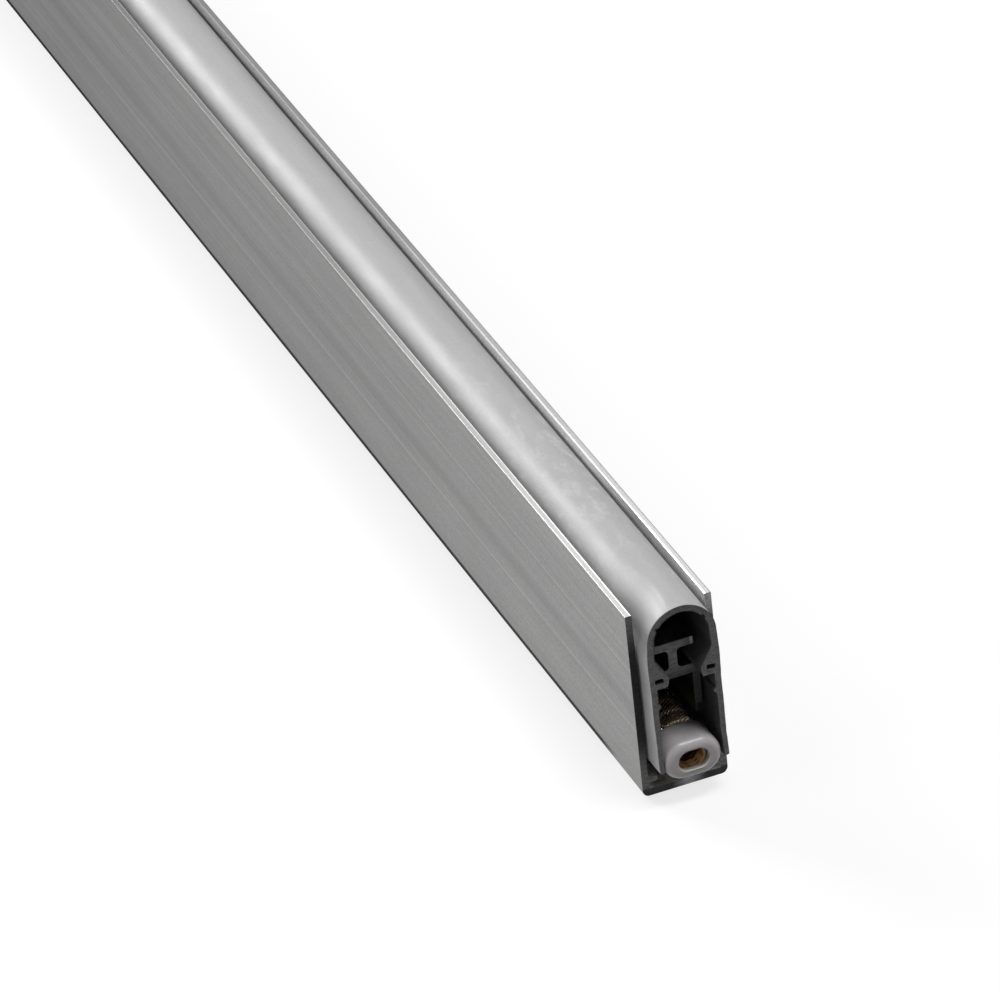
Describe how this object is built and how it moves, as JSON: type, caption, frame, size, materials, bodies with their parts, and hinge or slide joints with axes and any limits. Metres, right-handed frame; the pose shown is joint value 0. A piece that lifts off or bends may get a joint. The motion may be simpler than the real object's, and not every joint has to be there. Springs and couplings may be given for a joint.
{
  "type": "automatic door bottom seal",
  "caption": "Slim aluminium channel with a rubber strip that drops when the end plunger is pressed, sealing the gap under a door.",
  "frame": {"origin": "middle of the channel's flat back face, at half its length", "axes": "+Y along the channel away from the plunger, +Z out of the channel's open side, which is the way the seal drops, and +X across the channel; it lies on its back, upside down to the way it hangs in a door"},
  "size_m": [0.013, 0.3435, 0.0317],
  "materials": {
    "mill_aluminium": "mill extruded",
    "dark_aluminium": "dull extruded",
    "grey_rubber": "satin",
    "grey_plastic": "moulded",
    "dark_plastic": "moulded",
    "brass": "knurled",
    "zinc_steel": "zinc plated",
    "spring_steel": "drawn wire"
  },
  "bodies": {
    "channel": {"housing": "mill_aluminium", "rod_guide": "dark_plastic", "rod_guide_screw": "zinc_steel", "guide_block_front": "dark_plastic", "guide_block_rear": "dark_plastic", "guide_block_screws": "zinc_steel", "guide_pin_front": "zinc_steel", "guide_pin_rear": "zinc_steel", "return_spring": "spring_steel"},
    "cam_slide": {"slide_strip": "zinc_steel", "cam_slider_front": "dark_plastic", "cam_slider_rear": "dark_plastic", "cam_pin_front": "zinc_steel", "cam_pin_rear": "zinc_steel", "slider_rivets": "zinc_steel"},
    "adjuster": {"push_rod": "zinc_steel"},
    "plunger_head": {"plunger": "grey_plastic", "plunger_insert": "brass"},
    "drop_seal": {"carrier": "dark_aluminium", "seal_strip": "grey_rubber", "lift_plate_front": "dark_plastic", "lift_plate_rear": "dark_plastic"}
  },
  "joints": [
    {"name": "plunger_press", "type": "slide", "parent": "channel", "child": "cam_slide", "axis": [0, 1, 0], "range_m": [0, 0.0075], "stiffness_N_per_m": 1500, "springref_m": -0.0067, "deforming": ["return_spring"]},
    {"name": "seal_drop", "type": "slide", "parent": "channel", "child": "drop_seal", "axis": [0, 0, 1], "range_m": [0, 0.011]},
    {"name": "plunger_adjust", "type": "slide", "parent": "cam_slide", "child": "plunger_head", "axis": [0, -1, 0], "range_m": [-0.00035, 0.0035]},
    {"name": "adjuster_turn", "type": "hinge", "parent": "cam_slide", "child": "adjuster", "pos_m": [0, -0.1692, 0.00675], "axis": [0, 1, 0], "range_deg": [-180, 1800]}
  ],
  "couplings": [
    {"joint": "seal_drop", "follows": "plunger_press", "ratio": 1.4667},
    {"joint": "adjuster_turn", "follows": "plunger_adjust", "rad_per_m": 8975.9}
  ]
}
